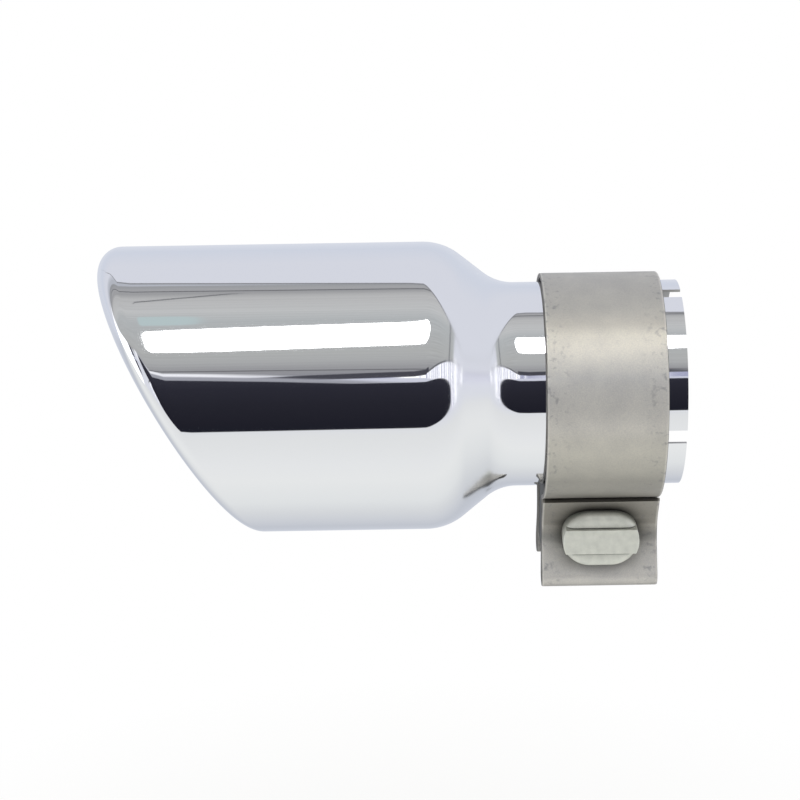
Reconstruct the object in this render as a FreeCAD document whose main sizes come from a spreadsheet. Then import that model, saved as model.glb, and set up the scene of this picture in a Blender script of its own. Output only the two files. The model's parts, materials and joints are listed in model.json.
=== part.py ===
"""Slant-cut exhaust tip with a rolled-in lip, held on its tailpipe by a wide band clamp.

Frame: X runs along the tube, with the slotted inlet end at X = 0 and the outlet towards -X.
+Z points to the longest side of the lip, and the ears of the clamp point down.
The origin is the centre of the inlet bore, on the end face that slides over the tailpipe.
"""
import FreeCAD, Part, Sketcher
import math
import os

os.makedirs("parts", exist_ok=True)

doc = FreeCAD.newDocument("exhaust_tip")
sheet = doc.addObject("Spreadsheet::Sheet", "Sizes")

# Driving dimensions, in millimetres and degrees
SIZES = {
    # Tip: one sheet metal tube
    "overall_length": 202.0,
    "body_diameter": 101.6,
    "wall": 1.0,
    "inlet_bore": 70.0,
    "inlet_length": 57.3,
    "shoulder_radius": 21.0,
    "root_radius": 17.0,
    "neck_angle": 38.4,
    "lip_angle": 30.0,
    "lip_radius": 6.35,
    "return_radius": 4.0,
    "lip_flat": 0.4,
    "return_depth": 8.0,
    # Slots that let the clamp squeeze the inlet
    "slot_count": 4,
    "slot_width": 5.2,
    "slot_length": 38.0,
    "slot_clock": 13.5,
    # Band of the clamp and its two doubled-back ears, which reach ear_reach below the bolt's axis
    "band_width": 41.3,
    "band_setback": 6.8,
    "band_sheet": 1.6,
    "band_clearance": 2.4,
    "band_drop": 1.0,
    "clamp_clock": 2.7,
    "ear_spread": 10.1,
    "ear_root_radius": 3.0,
    "layer_gap": 0.2,
    "ear_fold_radius": 3.6,
    "ear_reach": 20.3,
    "saddle_radius": 15.0,
    "saddle_top_angle": 30.0,
    "ear_lip_gap": 0.2,
    # Bolt, washer and nut, with the bolt's axis bolt_drop below the band's outside
    "bolt_drop": 11.0,
    "bolt_diameter": 10.0,
    "bolt_play": 0.5,
    "bolt_length": 50.0,
    "bolt_end_chamfer": 1.0,
    "head_length": 27.0,
    "head_width": 20.5,
    "head_corner": 9.9,
    "head_height": 9.0,
    "head_band": 9.3,
    "head_step": 0.6,
    "washer_height": 5.5,
    "saddle_play": 0.1,
    "nut_across_flats": 16.0,
    "nut_height": 8.4,
    "nut_bevel": 30.0,
    "nut_face": 15.2,
    "nut_play": 0.1,
    # Block between the ears, which reaches block_drop below the bolt's axis
    "block_inset": 0.6,
    "block_side_play": 0.3,
    "block_foot_play": 0.1,
    "block_foot_reach": 16.5,
    "block_waist": 1.6,
    "block_drop": 11.0,
}

for row, (name, size) in enumerate(SIZES.items(), start=1):
    sheet.set(f"A{row}", name)
    sheet.set(f"B{row}", str(size))
    sheet.setAlias(f"B{row}", name)
doc.recompute()

# How near an edge lies to a place that picks it, in millimetres
CLOSE = 0.01


def value(expression):
    """The number that an expression over the sheet's sizes gives."""
    return float(sheet.evalExpression(expression))


def point(x, y):
    return FreeCAD.Vector(x, y, 0)


def new_body(name):
    return doc.addObject("PartDesign::Body", name)


def new_sketch(body, plane_role, name, lift="0"):
    """A sketch on one of the body's own origin planes, lifted along the plane's normal."""
    sketch = body.newObject("Sketcher::SketchObject", name)
    plane = [item for item in body.Origin.OriginFeatures if item.Role == plane_role][0]
    sketch.AttachmentSupport = [(plane, "")]
    sketch.MapMode = "FlatFace"
    sketch.setExpression("AttachmentOffset.Base.z", lift)
    return sketch


def constrain(sketch, *constraint, equals=None):
    """Add one constraint and, where a size drives it, bind it to that size."""
    if equals is None:
        sketch.addConstraint(Sketcher.Constraint(*constraint))
        return
    index = sketch.addConstraint(Sketcher.Constraint(*constraint, value(equals)))
    sketch.setExpression(f"Constraints[{index}]", equals)


def draw_polygon(sketch, corners):
    """A closed outline of straight lines, with every corner placed by two expressions."""
    places = [point(value(x), value(y)) for x, y in corners]
    count = len(places)
    for at in range(count):
        sketch.addGeometry(Part.LineSegment(places[at], places[(at + 1) % count]))
    for at in range(count):
        constrain(sketch, "Coincident", at, 2, (at + 1) % count, 1)
    for at, (x, y) in enumerate(corners):
        place_point(sketch, at, 1, x, y)


def place_point(sketch, index, end, x, y):
    """Fix a point of the sketch at a distance from the sketch's origin."""
    for kind, on_axis, where in (("DistanceX", "PointOnObject", x), ("DistanceY", "PointOnObject", y)):
        if abs(value(where)) < 1e-9:
            axis = -2 if kind == "DistanceX" else -1
            constrain(sketch, on_axis, index, end, axis)
        else:
            constrain(sketch, kind, -1, 1, index, end, equals=where)


def extrude(body, kind, name, sketch, length, both_ways=False, reverse=False):
    """A pad or pocket of a sketch, with its length bound to the sheet."""
    feature = body.newObject(kind, name)
    feature.Profile = sketch
    feature.setExpression("Length", length)
    feature.SideType = "Symmetric" if both_ways else "One side"
    feature.Reversed = reverse
    sketch.Visibility = False
    doc.recompute()
    return feature


def revolve(body, kind, name, sketch, axis_role):
    """A full turn of a sketch about one of the body's origin axes."""
    axis = [item for item in body.Origin.OriginFeatures if item.Role == axis_role][0]
    feature = body.newObject(kind, name)
    feature.Profile = sketch
    feature.ReferenceAxis = (axis, [""])
    feature.Angle = 360
    doc.recompute()
    return feature


def edges_where(shape, test):
    """Names of the shape's edges that pass a test."""
    return [f"Edge{at}" for at, edge in enumerate(shape.Edges, start=1) if test(edge)]


def round_edges(body, name, base, edges, radius, kind="PartDesign::Fillet", bound="Radius"):
    feature = body.newObject(kind, name)
    feature.Base = (base, edges)
    feature.setExpression(bound, radius)
    doc.recompute()
    return feature


# Sizes that follow from the driving ones
BODY_R = "(Sizes.body_diameter / 2)"
INLET_R = "(Sizes.inlet_bore / 2 + Sizes.wall)"
CUT_MARGIN = "5"
BLANK_X = f"(-Sizes.overall_length - 2 * Sizes.lip_radius - {CUT_MARGIN})"

# The rolled lip: the slanted plane meets the tube's axis at LIP_X, and the mouth is as wide as
# the outer roll, the inner roll and the small flat between them leave it at the sharpest side
SHARP_SIDE = "tan((90 - Sizes.lip_angle) / 2)"
LIP_X = (
    "(-Sizes.overall_length + Sizes.lip_radius"
    f" + ({BODY_R} - Sizes.lip_radius) * tan(Sizes.lip_angle)"
    " - Sizes.lip_radius / cos(Sizes.lip_angle))"
)
ROLL_SPAN = (
    f"max(Sizes.lip_radius / {SHARP_SIDE} + Sizes.return_radius * {SHARP_SIDE};"
    f" Sizes.lip_radius * {SHARP_SIDE} + Sizes.return_radius / {SHARP_SIDE})"
)
MOUTH_R = f"({BODY_R} - cos(Sizes.lip_angle) * ({ROLL_SPAN} + Sizes.lip_flat))"
MOUTH_END = (
    f"({LIP_X} + Sizes.return_depth / cos(Sizes.lip_angle)"
    f" + ({MOUTH_R} + {CUT_MARGIN}) * tan(Sizes.lip_angle))"
)


def draw_tube_profile(sketch, skin, end_x):
    """Half section of the whole tube, filled to its axis and set in by a skin."""
    body_r = f"({BODY_R} - {skin})"
    inlet_r = f"({INLET_R} - {skin})"
    shoulder = f"(Sizes.shoulder_radius - {skin})"
    root = f"(Sizes.root_radius + {skin})"
    slope = math.radians(value("Sizes.neck_angle"))
    drop = value(f"{body_r} - {inlet_r}")
    rounds = value(f"{shoulder} + {root}")
    cone = (drop - rounds * (1 - math.cos(slope))) / math.sin(slope)
    neck = rounds * math.sin(slope) + cone * math.cos(slope)

    blank_x = value(BLANK_X)
    root_x = -value("Sizes.inlet_length")
    shoulder_x = root_x - neck
    top, low = value(body_r), value(inlet_r)
    shoulder_centre = point(shoulder_x, top - value(shoulder))
    root_centre = point(root_x, low + value(root))
    cone_start = shoulder_centre + point(math.sin(slope), math.cos(slope)) * value(shoulder)
    cone_end = root_centre - point(math.sin(slope), math.cos(slope)) * value(root)
    finish = point(value(end_x), low)

    upright = math.pi / 2
    flat_out, flat_in, axis_line = 0, 4, 6
    sketch.addGeometry([
        Part.LineSegment(point(blank_x, top), point(shoulder_x, top)),
        Part.ArcOfCircle(
            Part.Circle(shoulder_centre, FreeCAD.Vector(0, 0, 1), value(shoulder)), upright - slope, upright
        ),
        Part.LineSegment(cone_start, cone_end),
        Part.ArcOfCircle(
            Part.Circle(root_centre, FreeCAD.Vector(0, 0, 1), value(root)), -upright - slope, -upright
        ),
        Part.LineSegment(point(root_x, low), finish),
        Part.LineSegment(finish, point(finish.x, 0)),
        Part.LineSegment(point(finish.x, 0), point(blank_x, 0)),
        Part.LineSegment(point(blank_x, 0), point(blank_x, top)),
    ])
    for here, end, there, start in ((0, 2, 1, 2), (1, 1, 2, 1), (2, 2, 3, 1), (3, 2, 4, 1)):
        constrain(sketch, "Tangent", here, end, there, start)
    for here, there in ((4, 5), (5, 6), (6, 7), (7, flat_out)):
        constrain(sketch, "Coincident", here, 2, there, 1)
    for level in (flat_out, flat_in):
        constrain(sketch, "Horizontal", level)
    constrain(sketch, "Vertical", 5)
    constrain(sketch, "Vertical", 7)
    constrain(sketch, "PointOnObject", axis_line, 1, -1)
    constrain(sketch, "PointOnObject", axis_line, 2, -1)
    constrain(sketch, "Radius", 1, equals=shoulder)
    constrain(sketch, "Radius", 3, equals=root)
    constrain(sketch, "DistanceY", -1, 1, flat_out, 1, equals=body_r)
    constrain(sketch, "DistanceY", -1, 1, flat_in, 2, equals=inlet_r)
    constrain(sketch, "DistanceX", flat_in, 1, -1, 1, equals="Sizes.inlet_length")
    constrain(sketch, "DistanceX", flat_out, 1, -1, 1, equals=f"-{BLANK_X}")
    constrain(sketch, "Angle", -1, 1, 2, 1, equals="-Sizes.neck_angle * 1deg")
    if value(end_x):
        constrain(sketch, "DistanceX", -1, 1, flat_in, 2, equals=end_x)
    else:
        constrain(sketch, "PointOnObject", flat_in, 2, -2)


def slant_cut(body, name, lip_x):
    """Cut away everything on the outlet's side of the slanted plane through the axis at lip_x."""
    reach = f"({BODY_R} + {CUT_MARGIN})"
    lean = f"{reach} * tan(Sizes.lip_angle)"
    far_x = f"({BLANK_X} - {CUT_MARGIN})"
    waste = new_sketch(body, "XZ_Plane", f"{name}_slant")
    draw_polygon(waste, [
        (f"{lip_x} - {lean}", reach),
        (f"{lip_x} + {lean}", f"-{reach}"),
        (far_x, f"-{reach}"),
        (far_x, reach),
    ])
    return extrude(body, "PartDesign::Pocket", f"{name}_cut", waste, f"2 * {reach}", both_ways=True)


def draw_circle(sketch, radius):
    sketch.addGeometry(Part.Circle(point(0, 0), FreeCAD.Vector(0, 0, 1), value(radius)))
    constrain(sketch, "Coincident", 0, 3, -1, 1)
    constrain(sketch, "Radius", 0, equals=radius)


def tube_form(name, skin, end_x):
    """The tube as a filled form set in by a skin: turned, cut on the slant and rolled at the lip."""
    body = new_body(name)
    profile = new_sketch(body, "XZ_Plane", f"{name}_profile")
    draw_tube_profile(profile, skin, end_x)
    revolve(body, "PartDesign::Revolution", f"{name}_turned", profile, "X_Axis")
    lip_x = f"({LIP_X} + {skin} / cos(Sizes.lip_angle))"
    slant_cut(body, name, lip_x)

    mouth_r = f"({MOUTH_R} + {skin})"
    mouth = new_sketch(body, "YZ_Plane", f"{name}_mouth", lift=MOUTH_END)
    draw_circle(mouth, mouth_r)
    form = extrude(body, "PartDesign::Pocket", f"{name}_open", mouth, "Sizes.overall_length")

    slant = FreeCAD.Vector(1, 0, math.tan(math.radians(value("Sizes.lip_angle"))))
    middle_r = (value(BODY_R) + value(MOUTH_R)) / 2

    def on_lip(edge):
        return all(abs(spot.dot(slant) - value(lip_x)) < CLOSE for spot in edge.discretize(5))

    def mouth_edge(edge):
        return on_lip(edge) and edge.BoundBox.ZMax < middle_r

    def rim_edge(edge):
        return on_lip(edge) and edge.BoundBox.ZMax > middle_r

    inward = edges_where(form.Shape, mouth_edge)
    form = round_edges(body, f"{name}_return", form, inward, f"Sizes.return_radius - {skin}")
    rim = edges_where(form.Shape, rim_edge)
    body.Tip = round_edges(body, f"{name}_roll", form, rim, f"Sizes.lip_radius - {skin}")
    return body


def make_return_trimmer():
    """What trims the rolled-in edge to an even depth behind the lip."""
    body = new_body("return_trimmer")
    disc = new_sketch(body, "YZ_Plane", "trimmer_outline", lift=f"{MOUTH_END} + {CUT_MARGIN}")
    draw_circle(disc, f"({BODY_R} + {MOUTH_R}) / 2")
    extrude(body, "PartDesign::Pad", "trimmer", disc, "Sizes.overall_length", reverse=True)
    body.Tip = slant_cut(body, "trimmer", f"({LIP_X} + Sizes.return_depth / cos(Sizes.lip_angle))")
    return body


def cut(name, base, tool):
    result = doc.addObject("Part::Cut", name)
    result.Base = base
    result.Tool = tool
    doc.recompute()
    return result


def make_slot_cutters():
    """Round-ended cutters around the inlet, from the open end inwards."""
    body = new_body("slot_cutters")
    outline = new_sketch(body, "XY_Plane", "slot_outline")
    half = "Sizes.slot_width / 2"
    end_x = f"(-Sizes.slot_length + {half})"
    radius, centre_x, open_x = value(half), value(end_x), value(CUT_MARGIN)
    outline.addGeometry([
        Part.LineSegment(point(open_x, radius), point(centre_x, radius)),
        Part.ArcOfCircle(
            Part.Circle(point(centre_x, 0), FreeCAD.Vector(0, 0, 1), radius), math.pi / 2, 3 * math.pi / 2
        ),
        Part.LineSegment(point(centre_x, -radius), point(open_x, -radius)),
        Part.LineSegment(point(open_x, -radius), point(open_x, radius)),
    ])
    constrain(outline, "Tangent", 0, 2, 1, 1)
    constrain(outline, "Tangent", 1, 2, 2, 1)
    constrain(outline, "Coincident", 2, 2, 3, 1)
    constrain(outline, "Coincident", 3, 2, 0, 1)
    constrain(outline, "Vertical", 3)
    constrain(outline, "PointOnObject", 1, 3, -1)
    constrain(outline, "Horizontal", 0)
    constrain(outline, "Radius", 1, equals=half)
    constrain(outline, "DistanceX", 1, 3, -1, 1, equals=f"Sizes.slot_length - {half}")
    constrain(outline, "DistanceX", -1, 1, 3, 1, equals=CUT_MARGIN)
    cutter = extrude(body, "PartDesign::Pad", "slot_cutter", outline, f"{INLET_R} + {CUT_MARGIN}")
    ring = body.newObject("PartDesign::PolarPattern", "slot_ring")
    axis = [item for item in body.Origin.OriginFeatures if item.Role == "X_Axis"][0]
    ring.Originals = [cutter]
    ring.Axis = (axis, [""])
    ring.Angle = 360
    ring.setExpression("Occurrences", "Sizes.slot_count")
    body.Tip = ring
    body.Placement.Rotation.Axis = FreeCAD.Vector(1, 0, 0)
    body.setExpression("Placement.Rotation.Angle", "Sizes.slot_clock * 1deg")
    doc.recompute()
    return body


def make_tip_tube():
    """The tip: the even skin between two tube forms, with its rolled edge and slots cut."""
    outer = tube_form("outer_form", "0", "0")
    inner = tube_form("inner_form", "Sizes.wall", CUT_MARGIN)
    skin = cut("tube_skin", outer, inner)
    trimmed = cut("trimmed_skin", skin, make_return_trimmer())
    return cut("tip_tube", trimmed, make_slot_cutters())


# Sizes that the clamp's pieces share
BAND_IN = f"({INLET_R} + Sizes.band_clearance)"
BAND_MID = f"({BAND_IN} + Sizes.band_sheet / 2)"
BAND_OUT = f"({BAND_IN} + Sizes.band_sheet)"
BOLT_DEPTH = f"({BAND_OUT} + Sizes.bolt_drop)"
BOLT_HOLE_R = "(Sizes.bolt_diameter / 2 + Sizes.bolt_play)"
BAND_X = "(-Sizes.band_setback - Sizes.band_width / 2)"
LAYER_MID = "(Sizes.ear_spread + Sizes.band_sheet / 2)"
SADDLE_BOTTOM = "(Sizes.ear_spread + 2 * Sizes.band_sheet + Sizes.layer_gap)"
SADDLE_Y = f"({SADDLE_BOTTOM} + Sizes.saddle_radius)"


def place_on_band(piece, y="0", z="0"):
    """Set a piece at the middle of the band's width, measured from the band's own axis.

    The whole clamp is then turned about the tube by clamp_clock, which lowers its front ear.
    """
    hung_z = f"({z} - Sizes.band_drop)"
    turned_y = f"{y} * cos(Sizes.clamp_clock) - {hung_z} * sin(Sizes.clamp_clock)"
    turned_z = f"{y} * sin(Sizes.clamp_clock) + {hung_z} * cos(Sizes.clamp_clock)"
    for axis, where in (("x", BAND_X), ("y", turned_y), ("z", turned_z)):
        piece.setExpression(f"Placement.Base.{axis}", where)
    piece.Placement.Rotation.Axis = FreeCAD.Vector(1, 0, 0)
    piece.setExpression("Placement.Rotation.Angle", "Sizes.clamp_clock * 1deg")


class SheetPath:
    """A folded sheet drawn by its middle line, in straight runs and tangent bends."""

    def __init__(self, start, heading, thickness):
        self.spot = start
        self.heading = heading
        self.half = thickness / 2
        self.sides = ([], [])
        self.start_cut = self.cut_end()

    def along(self):
        return point(math.cos(self.heading), math.sin(self.heading))

    def left(self):
        return point(-math.sin(self.heading), math.cos(self.heading))

    def cut_end(self):
        """The short edge across the sheet where the path now stands."""
        offset = self.left() * self.half
        return Part.makeLine(self.spot + offset, self.spot - offset)

    def run(self, length):
        end = self.spot + self.along() * length
        for side, sign in zip(self.sides, (1, -1)):
            offset = self.left() * self.half * sign
            side.append(Part.makeLine(self.spot + offset, end + offset))
        self.spot = end

    def run_to_circle(self, radius):
        """Run on until the sheet's left side meets a circle about the origin."""
        corner = self.spot + self.left() * self.half
        towards = -corner.dot(self.along())
        self.run(towards - math.sqrt(towards ** 2 - corner.Length ** 2 + radius ** 2))

    def bend(self, radius, turn):
        """Turn by an angle, to the left where it is positive."""
        way = math.copysign(1, turn)
        centre = self.spot + self.left() * radius * way
        arms = [FreeCAD.Vector(self.spot - centre)]
        for share in (0.5, 1):
            part_turn = FreeCAD.Rotation(FreeCAD.Vector(0, 0, 1), math.degrees(turn * share))
            arms.append(part_turn.multVec(arms[0]))
        for side, sign in zip(self.sides, (1, -1)):
            scale = 1 - way * sign * self.half / radius
            side.append(Part.Arc(*[centre + arm * scale for arm in arms]).toShape())
        self.spot = centre + arms[2]
        self.heading += turn

    def face(self):
        """The sheet's section, closed across its two cut ends."""
        left, right = self.sides
        edges = left + right + [self.start_cut, self.cut_end()]
        return Part.Face(Part.Wire(Part.__sortEdges__(edges)))


def make_clamp_band():
    """One strip, bent round the tube and doubled back into two ears with bolt holes.

    Its section is drawn looking along the tube: sideways as it stands, and upwards.
    """
    ring = value(BAND_MID)
    sheet_half = value("Sizes.band_sheet") / 2
    layer = value(LAYER_MID)
    root = value("Sizes.ear_root_radius")
    fold = value("Sizes.ear_fold_radius")
    saddle = value("Sizes.saddle_radius") + sheet_half
    root_centre = point(layer + root, -math.sqrt((ring + root) ** 2 - (layer + root) ** 2))
    fold_centre = point(layer + fold, fold + sheet_half - value(f"{BOLT_DEPTH} + Sizes.ear_reach"))
    saddle_centre = point(value(SADDLE_Y), -value(BOLT_DEPTH))

    # The run between fold and saddle touches both arcs and crosses between them
    gap = saddle_centre - fold_centre
    rise_heading = math.atan2(gap.y, gap.x) + math.asin((fold + saddle) / gap.Length)
    rise = math.sqrt(gap.Length ** 2 - (fold + saddle) ** 2)
    top_heading = math.radians(90 - value("Sizes.saddle_top_angle"))
    root_angle = math.atan2(root_centre.y, root_centre.x)

    down = -math.pi / 2
    path = SheetPath(point(0, ring), 0, 2 * sheet_half)
    path.bend(ring, root_angle - math.pi / 2)
    path.bend(root, down - path.heading)
    path.run(root_centre.y - fold_centre.y)
    path.bend(fold, rise_heading - down)
    path.run(rise)
    path.bend(saddle, top_heading - rise_heading)
    path.run_to_circle(value(f"{BAND_OUT} + Sizes.ear_lip_gap"))

    width = value("Sizes.band_width")
    half_face = path.face()
    upright = FreeCAD.Rotation(FreeCAD.Vector(0, 1, 0), FreeCAD.Vector(0, 0, 1), FreeCAD.Vector(1, 0, 0))
    half_face.Placement = FreeCAD.Placement(FreeCAD.Vector(-width / 2, 0, 0), upright)
    half_band = half_face.extrude(FreeCAD.Vector(width, 0, 0))
    other_half = half_band.mirror(FreeCAD.Vector(0, 0, 0), FreeCAD.Vector(0, 1, 0))
    whole = half_band.fuse(other_half).removeSplitter()

    hole_start = FreeCAD.Vector(0, -value(SADDLE_Y), saddle_centre.y)
    hole = Part.makeCylinder(
        value(BOLT_HOLE_R), 2 * value(SADDLE_Y), hole_start, FreeCAD.Vector(0, 1, 0)
    )
    band = doc.addObject("Part::Feature", "clamp_band")
    band.Shape = whole.cut(hole).Solids[0]
    place_on_band(band)
    return band


def draw_arc(sketch, centre, radius, start, end):
    """An arc about a centre, between two angles in degrees. Gives its number in the sketch."""
    circle = Part.Circle(centre, FreeCAD.Vector(0, 0, 1), radius)
    return sketch.addGeometry(Part.ArcOfCircle(circle, math.radians(start), math.radians(end)))


def bar_section(body, name, side, height):
    """Section of an oblong bar that lies in an ear's saddle, with its curved side inwards.

    The saddle's lowest line is at Y = 0. Side is -1 for the front ear and 1 for the rear one.
    """
    sketch = new_sketch(body, "YZ_Plane", f"{name}_section")
    reach = "(Sizes.saddle_radius - Sizes.saddle_play)"
    half = "(Sizes.head_width / 2)"
    foot = f"{side} * (Sizes.saddle_radius - sqrt({reach} ^ 2 - {half} ^ 2))"
    top = f"{side} * {height}"
    places = [(foot, half), (top, half), (top, f"-{half}"), (foot, f"-{half}")]
    spots = [point(value(y), value(z)) for y, z in places]
    for a, b in zip(spots, spots[1:]):
        sketch.addGeometry(Part.LineSegment(a, b))
    spread = math.degrees(math.asin(value(half) / value(reach)))
    middle = 0 if side < 0 else 180
    centre = point(side * value("Sizes.saddle_radius"), 0)
    arc = draw_arc(sketch, centre, value(reach), middle - spread, middle + spread)
    upper, lower = (2, 1) if side < 0 else (1, 2)
    for here, end, there, start in ((0, 2, 1, 1), (1, 2, 2, 1), (2, 2, arc, lower), (0, 1, arc, upper)):
        constrain(sketch, "Coincident", here, end, there, start)
    place_point(sketch, arc, 3, f"{side} * Sizes.saddle_radius", "0")
    constrain(sketch, "Radius", arc, equals=reach)
    constrain(sketch, "DistanceY", -1, 1, 0, 1, equals=half)
    constrain(sketch, "DistanceY", 2, 2, -1, 1, equals=half)
    place_point(sketch, 1, 1, top, half)
    place_point(sketch, 2, 1, top, f"-{half}")
    return sketch


# Least flat left on either side of the middle of a rounded bar's end, in millimetres
END_FLAT = "0.2"


def oblong_bar(body, name, side, height):
    """The bar itself, with its four upright corners rounded."""
    section = bar_section(body, name, side, height)
    bar = extrude(body, "PartDesign::Pad", f"{name}_bar", section, "Sizes.head_length", both_ways=True)

    def is_upright(edge):
        return edge.BoundBox.XLength < CLOSE and edge.BoundBox.ZLength < CLOSE

    corners = edges_where(bar.Shape, is_upright)
    widest = f"Sizes.head_width / 2 - {END_FLAT}"
    return round_edges(body, f"{name}_corners", bar, corners, f"min(Sizes.head_corner; {widest})")


def make_clamp_bolt():
    """A bolt with an oblong head that rocks in the front ear's saddle."""
    body = new_body("clamp_bolt")
    oblong_bar(body, "head", -1, "Sizes.head_height")
    for side, name in (("", "upper_flank"), ("-", "lower_flank")):
        flank = new_sketch(body, "YZ_Plane", f"{name}_outline")
        inside, outside = f"{side}Sizes.head_band / 2", f"{side}Sizes.head_width"
        low, high = "Sizes.head_step - Sizes.head_height", f"-Sizes.head_height - {CUT_MARGIN}"
        draw_polygon(flank, [(low, inside), (high, inside), (high, outside), (low, outside)])
        extrude(body, "PartDesign::Pocket", name, flank, "2 * Sizes.head_length", both_ways=True)
    inside_head = "Sizes.head_height / 2"
    shank_outline = new_sketch(body, "XZ_Plane", "shank_outline", lift=inside_head)
    draw_circle(shank_outline, "Sizes.bolt_diameter / 2")
    shank_length = f"Sizes.bolt_length + {inside_head}"
    shank = extrude(body, "PartDesign::Pad", "shank", shank_outline, shank_length, reverse=True)
    tip_y = value("Sizes.bolt_length")
    tip_edge = edges_where(shank.Shape, lambda edge: all(abs(v.Y - tip_y) < CLOSE for v in edge.Vertexes))
    body.Tip = round_edges(
        body, "shank_end", shank, tip_edge, "Sizes.bolt_end_chamfer", "PartDesign::Chamfer", "Size"
    )
    place_on_band(body, y=f"-{SADDLE_BOTTOM}", z=f"-{BOLT_DEPTH}")
    return body


def make_saddle_washer():
    """A half-round bar that carries the nut in the rear ear's saddle."""
    body = new_body("saddle_washer")
    oblong_bar(body, "washer", 1, "Sizes.washer_height")
    hole_outline = new_sketch(body, "XZ_Plane", "washer_hole_outline")
    draw_circle(hole_outline, BOLT_HOLE_R)
    body.Tip = extrude(
        body, "PartDesign::Pocket", "washer_hole", hole_outline, "3 * Sizes.washer_height", both_ways=True
    )
    place_on_band(body, y=SADDLE_BOTTOM, z=f"-{BOLT_DEPTH}")
    return body


def make_hex_nut():
    """A plain hexagon nut with its outer face bevelled."""
    body = new_body("hex_nut")
    flat = "(Sizes.nut_across_flats / 2)"
    corner = f"({flat} / cos(30))"
    outline = new_sketch(body, "XZ_Plane", "nut_outline")
    draw_polygon(outline, [(f"{corner} * cos({60 * at})", f"{corner} * sin({60 * at})") for at in range(6)])
    hexagon = extrude(body, "PartDesign::Pad", "nut_hexagon", outline, "Sizes.nut_height", reverse=True)

    bevel_outline = new_sketch(body, "XY_Plane", "nut_bevel_outline")
    outside = f"({corner} + {CUT_MARGIN})"
    bevel = f"(({outside} - Sizes.nut_face / 2) * tan(Sizes.nut_bevel))"
    draw_polygon(bevel_outline, [
        ("Sizes.nut_face / 2", "Sizes.nut_height"),
        (outside, f"Sizes.nut_height - {bevel}"),
        (outside, "Sizes.nut_height"),
    ])
    revolve(body, "PartDesign::Groove", "nut_bevel", bevel_outline, "Y_Axis")

    bore_outline = new_sketch(body, "XZ_Plane", "nut_bore_outline")
    draw_circle(bore_outline, "Sizes.bolt_diameter / 2 + Sizes.nut_play")
    body.Tip = extrude(body, "PartDesign::Pocket", "nut_bore", bore_outline,
                       "3 * Sizes.nut_height", both_ways=True)
    place_on_band(body, y=f"({SADDLE_BOTTOM} + Sizes.washer_height)", z=f"-{BOLT_DEPTH}")
    return body


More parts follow.
